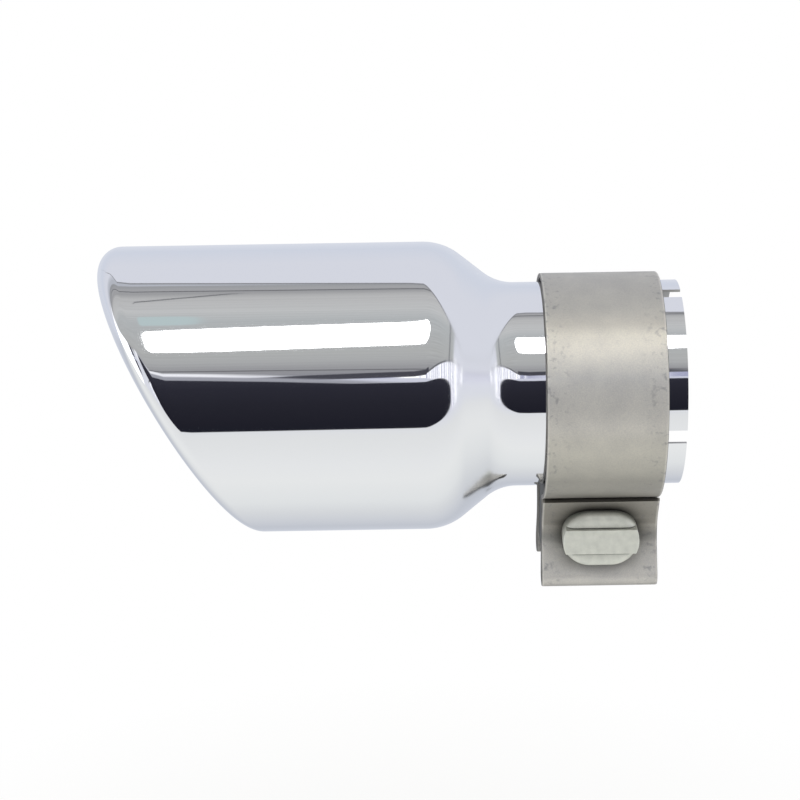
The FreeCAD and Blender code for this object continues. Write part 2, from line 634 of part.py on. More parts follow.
def make_reaction_block():
    """A waisted block between the ears, on an arched foot that fills the gap from tube to band."""
    body = new_body("reaction_block")
    section = new_sketch(body, "YZ_Plane", "block_section")
    half = "(Sizes.ear_spread - Sizes.block_side_play)"
    tube_side = f"({INLET_R} + Sizes.block_foot_play)"
    band_side = f"({BAND_IN} - Sizes.block_foot_play)"
    shoulder_z = f"(-sqrt({band_side} ^ 2 - {half} ^ 2))"
    bottom = f"({BOLT_DEPTH} + Sizes.block_drop)"
    chord = f"({bottom} + {shoulder_z})"
    side_r = f"({chord} ^ 2 / (8 * Sizes.block_waist) + Sizes.block_waist / 2)"

    # The foot's top follows the tube, which stands band_drop over the band's own axis
    tube_axis = point(0, value("Sizes.band_drop"))
    inner, outer = value(tube_side), value(band_side)
    inner_turn = math.degrees(math.asin(value("Sizes.block_foot_reach") / inner))
    outer_turn = math.degrees(math.asin(value("Sizes.block_foot_reach") / outer))
    neck_turn = math.degrees(math.asin(value(half) / outer))
    side_turn = math.degrees(math.asin(value(chord) / 2 / value(side_r)))
    side_z = value(chord) / 2 - value(bottom)
    side_y = value(half) - value("Sizes.block_waist") + value(side_r)
    top = draw_arc(section, tube_axis, inner, 270 - inner_turn, 270 + inner_turn)
    right_foot = draw_arc(section, point(0, 0), outer, 270 + neck_turn, 270 + outer_turn)
    left_foot = draw_arc(section, point(0, 0), outer, 270 - outer_turn, 270 - neck_turn)
    right_side = draw_arc(section, point(side_y, side_z), value(side_r), 180 - side_turn, 180 + side_turn)
    left_side = draw_arc(section, point(-side_y, side_z), value(side_r), -side_turn, side_turn)

    arcs = section.Geometry
    low_right = point(value(half), -value(bottom))
    low_left = point(-low_right.x, low_right.y)
    right_end = section.addGeometry(Part.LineSegment(arcs[top].EndPoint, arcs[right_foot].EndPoint))
    left_end = section.addGeometry(Part.LineSegment(arcs[top].StartPoint, arcs[left_foot].StartPoint))
    base = section.addGeometry(Part.LineSegment(low_left, low_right))
    for here, end, there, start in (
        (top, 2, right_end, 1), (right_end, 2, right_foot, 2), (right_foot, 1, right_side, 1),
        (right_side, 2, base, 2), (base, 1, left_side, 1), (left_side, 2, left_foot, 2),
        (left_foot, 1, left_end, 2), (left_end, 1, top, 1),
    ):
        constrain(section, "Coincident", here, end, there, start)
    place_point(section, top, 3, "0", "Sizes.band_drop")
    for arc in (right_foot, left_foot):
        constrain(section, "Coincident", arc, 3, -1, 1)
    for arc, radius in (
        (top, tube_side), (right_foot, band_side), (left_foot, band_side),
        (right_side, side_r), (left_side, side_r),
    ):
        constrain(section, "Radius", arc, equals=radius)
    for arc, end in ((top, 2), (right_foot, 2)):
        constrain(section, "DistanceX", -1, 1, arc, end, equals="Sizes.block_foot_reach")
    for arc, end in ((top, 1), (left_foot, 1)):
        constrain(section, "DistanceX", arc, end, -1, 1, equals="Sizes.block_foot_reach")
    constrain(section, "DistanceX", -1, 1, right_foot, 1, equals=half)
    constrain(section, "DistanceX", left_foot, 2, -1, 1, equals=half)
    place_point(section, base, 1, f"-{half}", f"-{bottom}")
    place_point(section, base, 2, half, f"-{bottom}")

    length = "Sizes.band_width - 2 * Sizes.block_inset"
    extrude(body, "PartDesign::Pad", "block", section, length, both_ways=True)
    hole_outline = new_sketch(body, "XZ_Plane", "block_hole_outline")
    hole_centre = point(0, -value(BOLT_DEPTH))
    hole_outline.addGeometry(Part.Circle(hole_centre, FreeCAD.Vector(0, 0, 1), value(BOLT_HOLE_R)))
    constrain(hole_outline, "Radius", 0, equals=BOLT_HOLE_R)
    place_point(hole_outline, 0, 3, "0", f"-{BOLT_DEPTH}")
    body.Tip = extrude(
        body, "PartDesign::Pocket", "block_hole", hole_outline, "4 * Sizes.ear_spread", both_ways=True
    )
    place_on_band(body)
    return body


PIECES = [
    make_tip_tube(),
    make_clamp_band(),
    make_reaction_block(),
    make_clamp_bolt(),
    make_saddle_washer(),
    make_hex_nut(),
]
doc.recompute()

for item in doc.Objects:
    if "Invalid" in item.State or "Error" in item.State:
        raise RuntimeError(f"{item.Name} did not build: {item.State}")
for piece in PIECES:
    if piece.Shape.isNull() or not piece.Shape.isValid():
        raise RuntimeError(f"{piece.Label} has no valid shape")
    piece.Shape.exportStep(f"parts/{piece.Label}.step")
    print(piece.Label, len(piece.Shape.Solids), "solid,", round(piece.Shape.Volume), "mm3")
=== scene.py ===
import json
import math

import bmesh
import bpy
from mathutils import Matrix, Vector


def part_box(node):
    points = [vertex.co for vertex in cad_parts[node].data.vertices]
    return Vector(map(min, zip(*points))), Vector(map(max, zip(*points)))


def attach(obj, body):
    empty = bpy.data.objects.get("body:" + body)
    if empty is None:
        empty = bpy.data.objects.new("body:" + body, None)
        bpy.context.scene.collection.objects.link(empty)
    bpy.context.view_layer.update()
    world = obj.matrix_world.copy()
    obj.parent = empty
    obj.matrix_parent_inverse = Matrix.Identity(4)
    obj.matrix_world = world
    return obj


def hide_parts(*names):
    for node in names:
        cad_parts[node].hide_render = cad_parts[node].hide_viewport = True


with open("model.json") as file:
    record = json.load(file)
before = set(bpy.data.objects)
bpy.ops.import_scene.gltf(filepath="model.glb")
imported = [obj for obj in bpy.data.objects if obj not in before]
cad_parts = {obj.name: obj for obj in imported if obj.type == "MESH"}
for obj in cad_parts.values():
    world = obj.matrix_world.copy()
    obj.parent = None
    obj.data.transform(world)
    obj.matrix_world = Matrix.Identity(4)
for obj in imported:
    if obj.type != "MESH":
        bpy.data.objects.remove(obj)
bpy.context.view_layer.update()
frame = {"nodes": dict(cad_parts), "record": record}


# --- The tip -------------------------------------------------------------------------------
# One tube of 1 mm stainless sheet: spun down to the inlet, cut on a slant at the outlet and
# rolled inwards there, with the raw edge turned back inside. Outside it is buffed to a mirror.
MM = 0.001

tip_lo, tip_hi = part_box("tip_tube")
bore = frame["record"]["mounts"][0]["dims"]
BODY_R = tip_hi.z
TIP_LENGTH = tip_hi.x - tip_lo.x
WALL = 1.0 * MM
INLET_R = bore["r_mm"] * MM + WALL
INLET_LENGTH = bore["length_mm"] * MM
SHOULDER_R = 21 * MM
ROOT_R = 17 * MM
NECK_MIDDLE = INLET_LENGTH + 15 * MM
NECK_ANGLE = math.radians(38.4)
LIP_ANGLE = math.radians(30)
LIP_R = 6.35 * MM
RETURN_R = 4 * MM
LIP_FLAT = 0.4 * MM
RETURN_DEPTH = 8 * MM
SLOT_COUNT = 4
SLOT_HALF = 2.6 * MM
SLOT_LENGTH = 38 * MM
SLOT_CLOCK = math.radians(13.5)
COLUMNS_PER_PANEL = 60
WELD = 0.0001 * MM

# The slanted plane, and the mouth that the two rolls and the flat between them leave
slant_normal = Vector((-math.cos(LIP_ANGLE), 0, -math.sin(LIP_ANGLE)))
lip_x = (
    -TIP_LENGTH + LIP_R + (BODY_R - LIP_R) * math.tan(LIP_ANGLE) - LIP_R / math.cos(LIP_ANGLE)
)
sharp_side = math.tan((math.pi / 2 - LIP_ANGLE) / 2)
roll_span = LIP_R / sharp_side + RETURN_R * sharp_side
mouth_r = BODY_R - math.cos(LIP_ANGLE) * (roll_span + LIP_FLAT)


def around(angle):
    """Unit vector away from the tube's axis, 0 towards +Y and a quarter turn towards +Z."""
    return Vector((0, math.cos(angle), math.sin(angle)))


def on_slant(radius, angle, depth):
    """A point at a radius, a depth behind the slanted plane of the lip."""
    x = lip_x + depth / math.cos(LIP_ANGLE) - radius * math.sin(angle) * math.tan(LIP_ANGLE)
    return Vector((x, 0, 0)) + around(angle) * radius


def swing(start, end, share):
    """A unit vector part of the way round from one to another."""
    whole = start.angle(end)
    a = math.sin((1 - share) * whole)
    b = math.sin(share * whole)
    return (start * a + end * b) / math.sin(whole)


def steps(start, end, count):
    """Evenly spaced values from start to end, both included."""
    return [start + (end - start) * at / count for at in range(count + 1)]


def skin_stations(skin):
    """Rings of one face of the sheet from the inlet to the turned-back edge.

    Each is a half width of the slot there and a function from an angle to a point.
    """
    inlet_r = INLET_R - skin
    body_r = BODY_R - skin
    root = ROOT_R + skin
    shoulder = SHOULDER_R - skin
    drop = body_r - inlet_r
    cone_drop = drop - (root + shoulder) * (1 - math.cos(NECK_ANGLE))
    root_x = -INLET_LENGTH
    cone_x = root_x - root * math.sin(NECK_ANGLE)
    shoulder_x = cone_x - cone_drop / math.tan(NECK_ANGLE) - shoulder * math.sin(NECK_ANGLE)
    slot_centre = -SLOT_LENGTH + SLOT_HALF

    def ring(x, radius, slot=0.0):
        return slot, lambda angle: Vector((x, 0, 0)) + around(angle) * radius

    stations = []
    for share in steps(0, 1, 10):
        stations.append(ring(slot_centre * share, inlet_r, SLOT_HALF))
    # The slot's end is half round, and closes at its last ring
    for turn in steps(0, math.pi / 2, 10)[1:-1]:
        x = slot_centre - SLOT_HALF * math.sin(turn)
        stations.append(ring(x, inlet_r, SLOT_HALF * math.cos(turn)))
    for x in steps(-SLOT_LENGTH, root_x, 6):
        stations.append(ring(x, inlet_r))
    for turn in steps(0, NECK_ANGLE, 10)[1:]:
        x = root_x - root * math.sin(turn)
        stations.append(ring(x, inlet_r + root * (1 - math.cos(turn))))
    for turn in steps(NECK_ANGLE, 0, 12):
        x = shoulder_x + shoulder * math.sin(turn)
        stations.append(ring(x, body_r - shoulder * (1 - math.cos(turn))))

    lip_r = LIP_R - skin
    return_r = RETURN_R - skin

    def roll_centre(angle):
        return on_slant(BODY_R - LIP_R, angle, LIP_R)

    def return_centre(angle):
        return on_slant(mouth_r + RETURN_R, angle, RETURN_R)

    def body(share):
        def place(angle):
            x = shoulder_x + (roll_centre(angle).x - shoulder_x) * share
            return Vector((x, 0, 0)) + around(angle) * body_r
        return 0.0, place

    def roll(share):
        return 0.0, lambda angle: (
            roll_centre(angle) + swing(around(angle), slant_normal, share) * lip_r
        )

    def turn_back(share):
        return 0.0, lambda angle: (
            return_centre(angle) + swing(slant_normal, -around(angle), share) * return_r
        )

    def tail(share):
        def place(angle):
            end = on_slant(mouth_r + skin, angle, RETURN_DEPTH)
            start_x = return_centre(angle).x
            return Vector((start_x + (end.x - start_x) * share, end.y, end.z))
        return 0.0, place

    stations += [body(share) for share in steps(0, 1, 24)[1:]]
    stations += [roll(share) for share in steps(0, 1, 20)[1:]]
    stations += [turn_back(share) for share in steps(0, 1, 12)]
    stations += [tail(share) for share in steps(0, 1, 3)[1:]]
    return stations


def slotted_ring(mesh, station):
    """One ring of points, in a panel for each stretch between two slots."""
    slot, place = station
    panels = []
    for panel in range(SLOT_COUNT):
        quarter = 2 * math.pi / SLOT_COUNT
        first = math.pi / 2 + SLOT_CLOCK + quarter * panel
        gap = math.asin(slot / place(0).yz.length)
        angles = steps(first + gap, first + quarter - gap, COLUMNS_PER_PANEL)
        panels.append([mesh.verts.new(place(angle)) for angle in angles])
    return panels


def finish_mesh(mesh, name, sharp_angle):
    """Weld, turn the faces outwards, and make an object shaded smooth up to an angle."""
    bmesh.ops.remove_doubles(mesh, verts=mesh.verts, dist=WELD)
    bmesh.ops.recalc_face_normals(mesh, faces=mesh.faces)
    data = bpy.data.meshes.new(name)
    mesh.to_mesh(data)
    mesh.free()
    data.shade_smooth()
    data.set_sharp_from_angle(angle=sharp_angle)
    piece = bpy.data.objects.new(name, data)
    bpy.context.scene.collection.objects.link(piece)
    return piece


# Two skins of one sheet, joined at the inlet's end, at the turned-back edge and in the slots
POLISHED, MILL = 0, 1
sheet = bmesh.new()
outer = [slotted_ring(sheet, station) for station in skin_stations(0.0)]
inner = [slotted_ring(sheet, station) for station in skin_stations(WALL)]
loop = outer + inner[::-1]
for at, ring in enumerate(loop):
    following = loop[(at + 1) % len(loop)]
    finish = POLISHED if at < len(outer) - 1 else MILL
    for here, there in zip(ring, following):
        for a, b, c, d in zip(here, here[1:], there[1:], there):
            sheet.faces.new((a, b, c, d)).material_index = finish
for at, (slot, _) in enumerate(skin_stations(0.0)):
    if slot == 0:
        continue
    wall = (outer[at], outer[at + 1], inner[at + 1], inner[at])
    for panel in range(SLOT_COUNT):
        for side in (0, -1):
            corners = [ring[panel][side] for ring in wall]
            sheet.faces.new(corners).material_index = MILL
tip = finish_mesh(sheet, "tip_skin", math.radians(35))
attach(tip, "root")
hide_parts("tip_tube")


def linear(code):
    """An sRGB hex colour as the linear colour that the nodes take."""
    channels = [int(code[at:at + 2], 16) / 255 for at in (1, 3, 5)]
    return [c / 12.92 if c <= 0.04045 else ((c + 0.055) / 1.055) ** 2.4 for c in channels] + [1]


def add(tree, kind, settings=None, **links):
    """Add one node, set its attributes, and give its sockets their values or links.

    A socket goes by its name, with _ for a space, or by its number after a _. A Map Range
    takes its two ranges at _1 to _4, and a Mix takes its two colours at _6 and _7.
    """
    node = tree.nodes.new(kind)
    for name, setting in (settings or {}).items():
        setattr(node, name, setting)
    for name, given in links.items():
        key = int(name[1:]) if name[1:].isdigit() and name[0] == "_" else name.replace("_", " ")
        socket = node.inputs[key]
        if isinstance(given, bpy.types.NodeSocket):
            tree.links.new(given, socket)
        else:
            socket.default_value = given
    return node


def new_material(name):
    """An empty material with its output and a principled shader joined to it."""
    material = bpy.data.materials.new(name)
    material.use_nodes = True
    tree = material.node_tree
    tree.nodes.clear()
    shader = add(tree, "ShaderNodeBsdfPrincipled")
    add(tree, "ShaderNodeOutputMaterial", Surface=shader.outputs[0])
    return material, tree, shader


# Mirror-buffed stainless: almost colourless, with long shallow waves from the buffing wheel,
# which bend the edges of what it reflects. The wheel leaves the neck's hollow duller
WAVE_LENGTH = 30 * MM
WAVE_HEIGHT = 0.02 * MM
MIRROR_ROUGHNESS = 0.035
NECK_ROUGHNESS = 0.17
polished, tree, shader = new_material("mirror_buffed_stainless")
shader.inputs["Base Color"].default_value = linear("#F2F3F5")
shader.inputs["Metallic"].default_value = 1
place = add(tree, "ShaderNodeTexCoord").outputs["Object"]
along = add(tree, "ShaderNodeSeparateXYZ", Vector=place).outputs[0]
past_neck = add(tree, "ShaderNodeMath", {"operation": "ADD"}, _0=along, _1=NECK_MIDDLE)
from_neck = add(tree, "ShaderNodeMath", {"operation": "ABSOLUTE"}, _0=past_neck.outputs[0])
rough = add(
    tree, "ShaderNodeMapRange", {"interpolation_type": "SMOOTHSTEP"},
    Value=from_neck.outputs[0], _1=4 * MM, _2=13 * MM, _3=NECK_ROUGHNESS, _4=MIRROR_ROUGHNESS,
)
tree.links.new(rough.outputs[0], shader.inputs["Roughness"])
waves = add(tree, "ShaderNodeTexNoise", Vector=place, Scale=1 / WAVE_LENGTH, Detail=1.0)
bump = add(tree, "ShaderNodeBump", Height=waves.outputs[0], Distance=WAVE_HEIGHT, Strength=1.0)
tree.links.new(bump.outputs[0], shader.inputs["Normal"])

# The sheet's mill finish inside the tube: grey and blurred, with fine lines along the
# rolling, which are drawn several times as coarse as they are so that they show
ROLLING_LINES = 0.8 * MM
LINE_STRETCH = 25
mill, tree, shader = new_material("mill_finish_stainless")
shader.inputs["Base Color"].default_value = linear("#B9B8B6")
shader.inputs["Metallic"].default_value = 1
place = add(tree, "ShaderNodeTexCoord").outputs["Object"]
stretched = add(tree, "ShaderNodeMapping", Vector=place, Scale=(1 / LINE_STRETCH, 1, 1))
lines = add(
    tree, "ShaderNodeTexNoise", Vector=stretched.outputs[0], Scale=1 / ROLLING_LINES, Detail=3.0
)
rough = add(tree, "ShaderNodeMapRange", Value=lines.outputs[0], _3=0.24, _4=0.42)
tree.links.new(rough.outputs[0], shader.inputs["Roughness"])
bump = add(tree, "ShaderNodeBump", Height=lines.outputs[0], Distance=0.01 * MM, Strength=0.6)
tree.links.new(bump.outputs[0], shader.inputs["Normal"])
for material in (polished, mill):
    tip.data.materials.append(material)


# --- The band clamp ------------------------------------------------------------------------
# A wide strip of stainless, sheared with its edges broken, bent round the inlet and doubled
# back into two ears that each hold a saddle for the bolt. Tumbling after forming dulled it.
SHEET = 1.6 * MM
EDGE_R = 0.45 * MM
HALF_BAND = 41.3 * MM / 2
BAND_SETBACK = 6.8 * MM
BAND_SAG = 1 * MM
BAND_TURN = math.radians(2.7)
BAND_PLAY = 2.4 * MM
BAND_OUT = INLET_R + BAND_PLAY + SHEET
LAYER_GAP = 0.2 * MM
LIP_GAP = 0.2 * MM
EAR_SPREAD = 10.1 * MM
EAR_ROOT_R = 3 * MM
EAR_FOLD_R = 3.6 * MM
SADDLE_R = 15 * MM
SADDLE_FOOT = EAR_SPREAD + 2 * SHEET + LAYER_GAP
BOLT_DEPTH = BAND_OUT + 11 * MM
EAR_DEPTH = BOLT_DEPTH + 20.3 * MM
LIP_HEADING = math.radians(60)
BOLT_HOLE_R = 5.5 * MM

# The clamp hangs a little below the tube's axis and is turned slightly about it
band_middle = -BAND_SETBACK - HALF_BAND
clamp_place = (
    Matrix.Rotation(BAND_TURN, 4, "X") @ Matrix.Translation((band_middle, 0, -BAND_SAG))
)


def bend(path, radius, turn, count):
    """Carry the strip's path on round an arc, to the left where the turn is positive."""
    spot, heading = path[-1]
    side = radius * math.copysign(1, turn)
    centre = spot + Vector((-math.sin(heading), math.cos(heading))) * side
    for angle in steps(heading, heading + turn, count)[1:]:
        path.append((centre - Vector((-math.sin(angle), math.cos(angle))) * side, angle))


def run_on(path, length):
    """Carry the strip's path straight on."""
    spot, heading = path[-1]
    path.append((spot + Vector((math.cos(heading), math.sin(heading))) * length, heading))


def strip_path():
    """The middle line of the strip across the tube, from one ear's lip to the other's."""
    ring = BAND_OUT - SHEET / 2
    layer = EAR_SPREAD + SHEET / 2
    root_y = layer + EAR_ROOT_R
    root_centre = Vector((root_y, -math.sqrt((ring + EAR_ROOT_R) ** 2 - root_y ** 2)))
    fold_centre = Vector((layer + EAR_FOLD_R, EAR_FOLD_R + SHEET / 2 - EAR_DEPTH))
    saddle = SADDLE_R + SHEET / 2
    gap = Vector((SADDLE_FOOT + SADDLE_R, -BOLT_DEPTH)) - fold_centre
    rise_heading = math.atan2(gap.y, gap.x) + math.asin((EAR_FOLD_R + saddle) / gap.length)

    half = [(Vector((0, ring)), 0.0)]
    bend(half, ring, math.atan2(root_centre.y, root_centre.x) - math.pi / 2, 90)
    bend(half, EAR_ROOT_R, -math.pi / 2 - half[-1][1], 10)
    run_on(half, root_centre.y - fold_centre.y)
    bend(half, EAR_FOLD_R, rise_heading + math.pi / 2, 20)
    run_on(half, math.sqrt(gap.length ** 2 - (EAR_FOLD_R + saddle) ** 2))
    bend(half, saddle, LIP_HEADING - rise_heading, 24)
    left = half[-1][0] + Vector((-math.sin(LIP_HEADING), math.cos(LIP_HEADING))) * SHEET / 2
    towards = -left.dot(Vector((math.cos(LIP_HEADING), math.sin(LIP_HEADING))))
    reach = BAND_OUT + LIP_GAP
    run_on(half, towards - math.sqrt(towards ** 2 - left.length ** 2 + reach ** 2))
    other = [(Vector((-spot.x, spot.y)), -heading) for spot, heading in half[:0:-1]]
    return other + half


def strip_section():
    """The strip's section as places across its width and its sheet, with broken edges."""
    places = []
    for wide, thick in ((1, 1), (-1, 1), (-1, -1), (1, -1)):
        x = wide * (HALF_BAND - EDGE_R)
        t = thick * (SHEET / 2 - EDGE_R)
        start = math.atan2(thick, wide) - math.pi / 4
        arc = [
            (x + EDGE_R * math.cos(angle), t + EDGE_R * math.sin(angle))
            for angle in steps(start, start + math.pi / 2, 4)
        ]
        # A loop beside each corner keeps the broad faces flat when they are shaded smooth
        support = x - wide * EDGE_R
        places += ([] if wide == thick else [(support, arc[0][1])]) + arc
        places += [(support, arc[-1][1])] if wide == thick else []
    return places


def sweep(mesh, path, section):
    """Carry a closed section along a path in the YZ plane, and close both ends."""
    rings = []
    for spot, heading in path:
        left = Vector((0, -math.sin(heading), math.cos(heading)))
        middle = Vector((0, spot.x, spot.y))
        places = [middle + left * thick + Vector((wide, 0, 0)) for wide, thick in section]
        rings.append([mesh.verts.new(place) for place in places])
    for here, there in zip(rings, rings[1:]):
        for at in range(len(section)):
            after = (at + 1) % len(section)
            mesh.faces.new((here[at], here[after], there[after], there[at]))
    for ring in (rings[0], rings[-1]):
        mesh.faces.new(ring)


strip = bmesh.new()
sweep(strip, strip_path(), strip_section())
band = finish_mesh(strip, "band_strip", math.radians(40))

# The hole for the bolt is punched through both ears
drill = bmesh.new()
bolt_axis = Matrix.Translation((0, 0, -BOLT_DEPTH)) @ Matrix.Rotation(math.pi / 2, 4, "X")
bmesh.ops.create_cone(
    drill, segments=48, radius1=BOLT_HOLE_R, radius2=BOLT_HOLE_R, depth=4 * SADDLE_R,
    cap_ends=True, matrix=bolt_axis,
)
drill = finish_mesh(drill, "drill", math.radians(40))
holes = band.modifiers.new("holes", "BOOLEAN")
holes.object = drill
drilled = band.evaluated_get(bpy.context.evaluated_depsgraph_get())
band.data = bpy.data.meshes.new_from_object(drilled)
band.modifiers.clear()
bpy.data.objects.remove(drill)
band.data.transform(clamp_place)
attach(band, "root")
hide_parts("clamp_band")


def shades(tree, value, stops):
    """Colours over a range of a value, given by stops in that value's own unit."""
    low, high = stops[0][0], stops[-1][0]
    share = add(tree, "ShaderNodeMapRange", Value=value, _1=low, _2=high)
    node = add(tree, "ShaderNodeValToRGB", Fac=share.outputs[0])
    elements = node.color_ramp.elements
    elements.remove(elements[-1])
    for at, (here, code) in enumerate(stops):
        place = (here - low) / (high - low)
        stop = elements[0] if at == 0 else elements.new(place)
        stop.position = place
        stop.color = linear(code)
    return node.outputs[0]


# Tumbled stainless: matt and warm grey, speckled by the tumbling stones, with dim clouds
SPECKLE = 0.45 * MM
CLOUDS = 9 * MM
CREASE = 14 * MM
satin, tree, shader = new_material("tumbled_stainless")
shader.inputs["Metallic"].default_value = 0.85
place = add(tree, "ShaderNodeTexCoord").outputs["Object"]
speckle = add(tree, "ShaderNodeTexNoise", Vector=place, Scale=1 / SPECKLE, Detail=3.0)
clouds = add(tree, "ShaderNodeTexNoise", Vector=place, Scale=1 / CLOUDS, Detail=4.0)
cloudy = add(
    tree, "ShaderNodeMapRange", Value=clouds.outputs[0], _1=0.3, _2=0.7, _3=-0.25, _4=0.15
)
spotty = add(
    tree, "ShaderNodeMath", {"operation": "MULTIPLY_ADD"},
    _0=speckle.outputs[0], _1=1.3, _2=cloudy.outputs[0],
)
tint = add(
    tree, "ShaderNodeMix", {"data_type": "RGBA"}, Factor=spotty.outputs[0],
    _6=linear("#D8D6D3"), _7=linear("#F5F2EA"),
)
# Painted shade, given by height in mm: darkest below the band round the roots of the ears,
# darker at the bottom of the ears' folds and over the top of the band
SHADE_BY_HEIGHT = (
    (-73.5, "#A5A4A2"), (-71, "#DCDBDA"), (-67, "#FFFFFF"), (-54, "#FFFFFF"), (-52, "#F8F6F2"),
    (-49, "#BDBBB7"), (-40, "#BAB8B4"), (-31, "#C4C3C0"), (-25.5, "#BDBCB8"),
    (-20.5, "#CFCEC9"), (-13, "#DEDDD8"), (-8, "#E3E2DE"), (-3, "#EFEEEC"), (14, "#EDEEF0"),
    (23.5, "#F3F1EC"), (26.5, "#EFEDE7"), (29.5, "#DBD9D5"), (34, "#D6D6D5"), (40, "#D6D6D6"),
)
spot = add(tree, "ShaderNodeSeparateXYZ", Vector=place).outputs
height_shade = shades(tree, spot[2], [(height * MM, code) for height, code in SHADE_BY_HEIGHT])
height_shaded = add(
    tree, "ShaderNodeVectorMath", {"operation": "MULTIPLY"}, _0=tint.outputs[2], _1=height_shade
)
# Painted shade: ambient occlusion darkens the colour in the creases and close to other parts
crease_shaded = add(
    tree, "ShaderNodeAmbientOcclusion", {"samples": 8}, Color=height_shaded.outputs[0], Distance=CREASE
)
from_middle = add(tree, "ShaderNodeMath", {"operation": "ADD"}, _0=spot[0], _1=-band_middle)
to_edge = add(tree, "ShaderNodeMath", {"operation": "ABSOLUTE"}, _0=from_middle.outputs[0])
# The edges are lighter: partly rubbed wear, partly a painted highlight for the glint on their
# rounded corners
rubbed_and_highlit = add(
    tree, "ShaderNodeMapRange", Value=to_edge.outputs[0],
    _1=HALF_BAND - 0.9 * MM, _2=HALF_BAND - 0.4 * MM, _3=0.0, _4=0.5,
)
worn_and_highlit = add(
    tree, "ShaderNodeMix", {"data_type": "RGBA"}, Factor=rubbed_and_highlit.outputs[0],
    _6=crease_shaded.outputs[0], _7=linear("#EFECE4"),
)
# The sheared faces are darker: partly their own finish, partly painted shade for the dark line
# where the band meets the tube
sheared_and_shaded = add(
    tree, "ShaderNodeMapRange", Value=to_edge.outputs[0],
    _1=HALF_BAND - 0.3 * MM, _2=HALF_BAND - 0.1 * MM, _3=0.0, _4=0.9,
)
edged = add(
    tree, "ShaderNodeMix", {"data_type": "RGBA"}, Factor=sheared_and_shaded.outputs[0],
    _6=worn_and_highlit.outputs[2], _7=linear("#8C8985"),
)
# Hands and tools leave dark smudges beside the edges
SMUDGES = 2.2 * MM
marks = add(tree, "ShaderNodeTexNoise", Vector=place, Scale=1 / SMUDGES, Detail=4.0)
marked = add(
    tree, "ShaderNodeMapRange", Value=marks.outputs[0], _1=0.56, _2=0.70, _3=0.0, _4=0.45
)
outermost = add(
    tree, "ShaderNodeMapRange", Value=to_edge.outputs[0],
    _1=HALF_BAND - 10 * MM, _2=HALF_BAND - 3 * MM, _3=0.0, _4=1.0,
)
smudged = add(
    tree, "ShaderNodeMath", {"operation": "MULTIPLY"},
    _0=marked.outputs[0], _1=outermost.outputs[0],
)
handled = add(
    tree, "ShaderNodeMix", {"data_type": "RGBA"}, Factor=smudged.outputs[0],
    _6=edged.outputs[2], _7=linear("#7F7E84"),
)
# Painted shade: from the inner layer of the front ear to the rear one, below the ears' roots,
# the colour is darkened
REAR_SHADE_FRONT = -11.4 * MM
REAR_SHADE_TOP = -38 * MM
behind = add(
    tree, "ShaderNodeMapRange", Value=spot[1],
    _1=REAR_SHADE_FRONT, _2=REAR_SHADE_FRONT + 0.5 * MM, _3=0.0, _4=0.6,
)
below = add(
    tree, "ShaderNodeMapRange", Value=spot[2],
    _1=REAR_SHADE_TOP - 6 * MM, _2=REAR_SHADE_TOP, _3=1.0, _4=0.0,
)
rear_shade = add(
    tree, "ShaderNodeMath", {"operation": "MULTIPLY"}, _0=behind.outputs[0], _1=below.outputs[0]
)
rear_shaded = add(
    tree, "ShaderNodeMix", {"data_type": "RGBA"}, Factor=rear_shade.outputs[0],
    _6=handled.outputs[2], _7=linear("#4A4A49"),
)
tree.links.new(rear_shaded.outputs[2], shader.inputs["Base Color"])
rough = add(tree, "ShaderNodeMapRange", Value=speckle.outputs[0], _3=0.52, _4=0.66)
tree.links.new(rough.outputs[0], shader.inputs["Roughness"])
bump = add(tree, "ShaderNodeBump", Height=speckle.outputs[0], Distance=0.04 * MM, Strength=0.8)
tree.links.new(bump.outputs[0], shader.inputs["Normal"])
band.data.materials.append(satin)


# --- The clamp's bolt ----------------------------------------------------------------------
# Steel, its oblong head cold formed with a raised middle and rounded shoulders, its thread
# rolled. The head rocks in the front ear's saddle, and the thread ends past the nut.
HEAD_LENGTH = 27 * MM
HEAD_WIDTH = 20.5 * MM
HEAD_CORNER = 9.9 * MM
HEAD_HEIGHT = 9 * MM
HEAD_STEP = 1.0 * MM
HEAD_GROOVE = 0.5 * MM
GROOVE_WIDTH = 0.4 * MM
HEAD_BAND = 9.3 * MM
BAND_SHOULDER = 0.5 * MM
FLANK_SHOULDER = 2.6 * MM
THREAD_R = 5 * MM
THREAD_PITCH = 1.5 * MM
THREAD_DEPTH = 0.8 * MM
THREAD_FLANKS = 1 / 1.15
BOLT_LENGTH = 50 * MM
SHANK_END = BOLT_LENGTH - SADDLE_FOOT
END_CHAMFER = 1 * MM
HEAD_PLAY = 0.1 * MM


def head_rows():
    """Heights across the head at which its rows of points lie, close at shoulders and band."""
    edge = HEAD_WIDTH / 2
    step = HEAD_BAND / 2
    upper = [edge - FLANK_SHOULDER * (1 - math.cos(turn)) for turn in steps(0, math.pi / 2, 8)]
    upper += steps(upper[-1], step + 0.55 * MM, 4)[1:]
    upper += [step + 0.25 * MM, step - 0.05 * MM, step - 0.3 * MM, step / 2]
    return upper + [0.0] + [-z for z in reversed(upper)]


def head_row(z):
    """Places along one row, from one end of the oblong outline to the other."""
    rise = max(0.0, abs(z) - (HEAD_WIDTH / 2 - HEAD_CORNER))
    reach = HEAD_LENGTH / 2 - HEAD_CORNER + math.sqrt(max(0.0, HEAD_CORNER ** 2 - rise ** 2))
    shoulder = FLANK_SHOULDER if abs(z) > HEAD_BAND / 2 else BAND_SHOULDER
    end = [reach - shoulder * (1 - math.cos(turn)) for turn in steps(0, math.pi / 2, 8)]
    return end + steps(end[-1], -end[-1], 12)[1:-1] + [-x for x in reversed(end)]


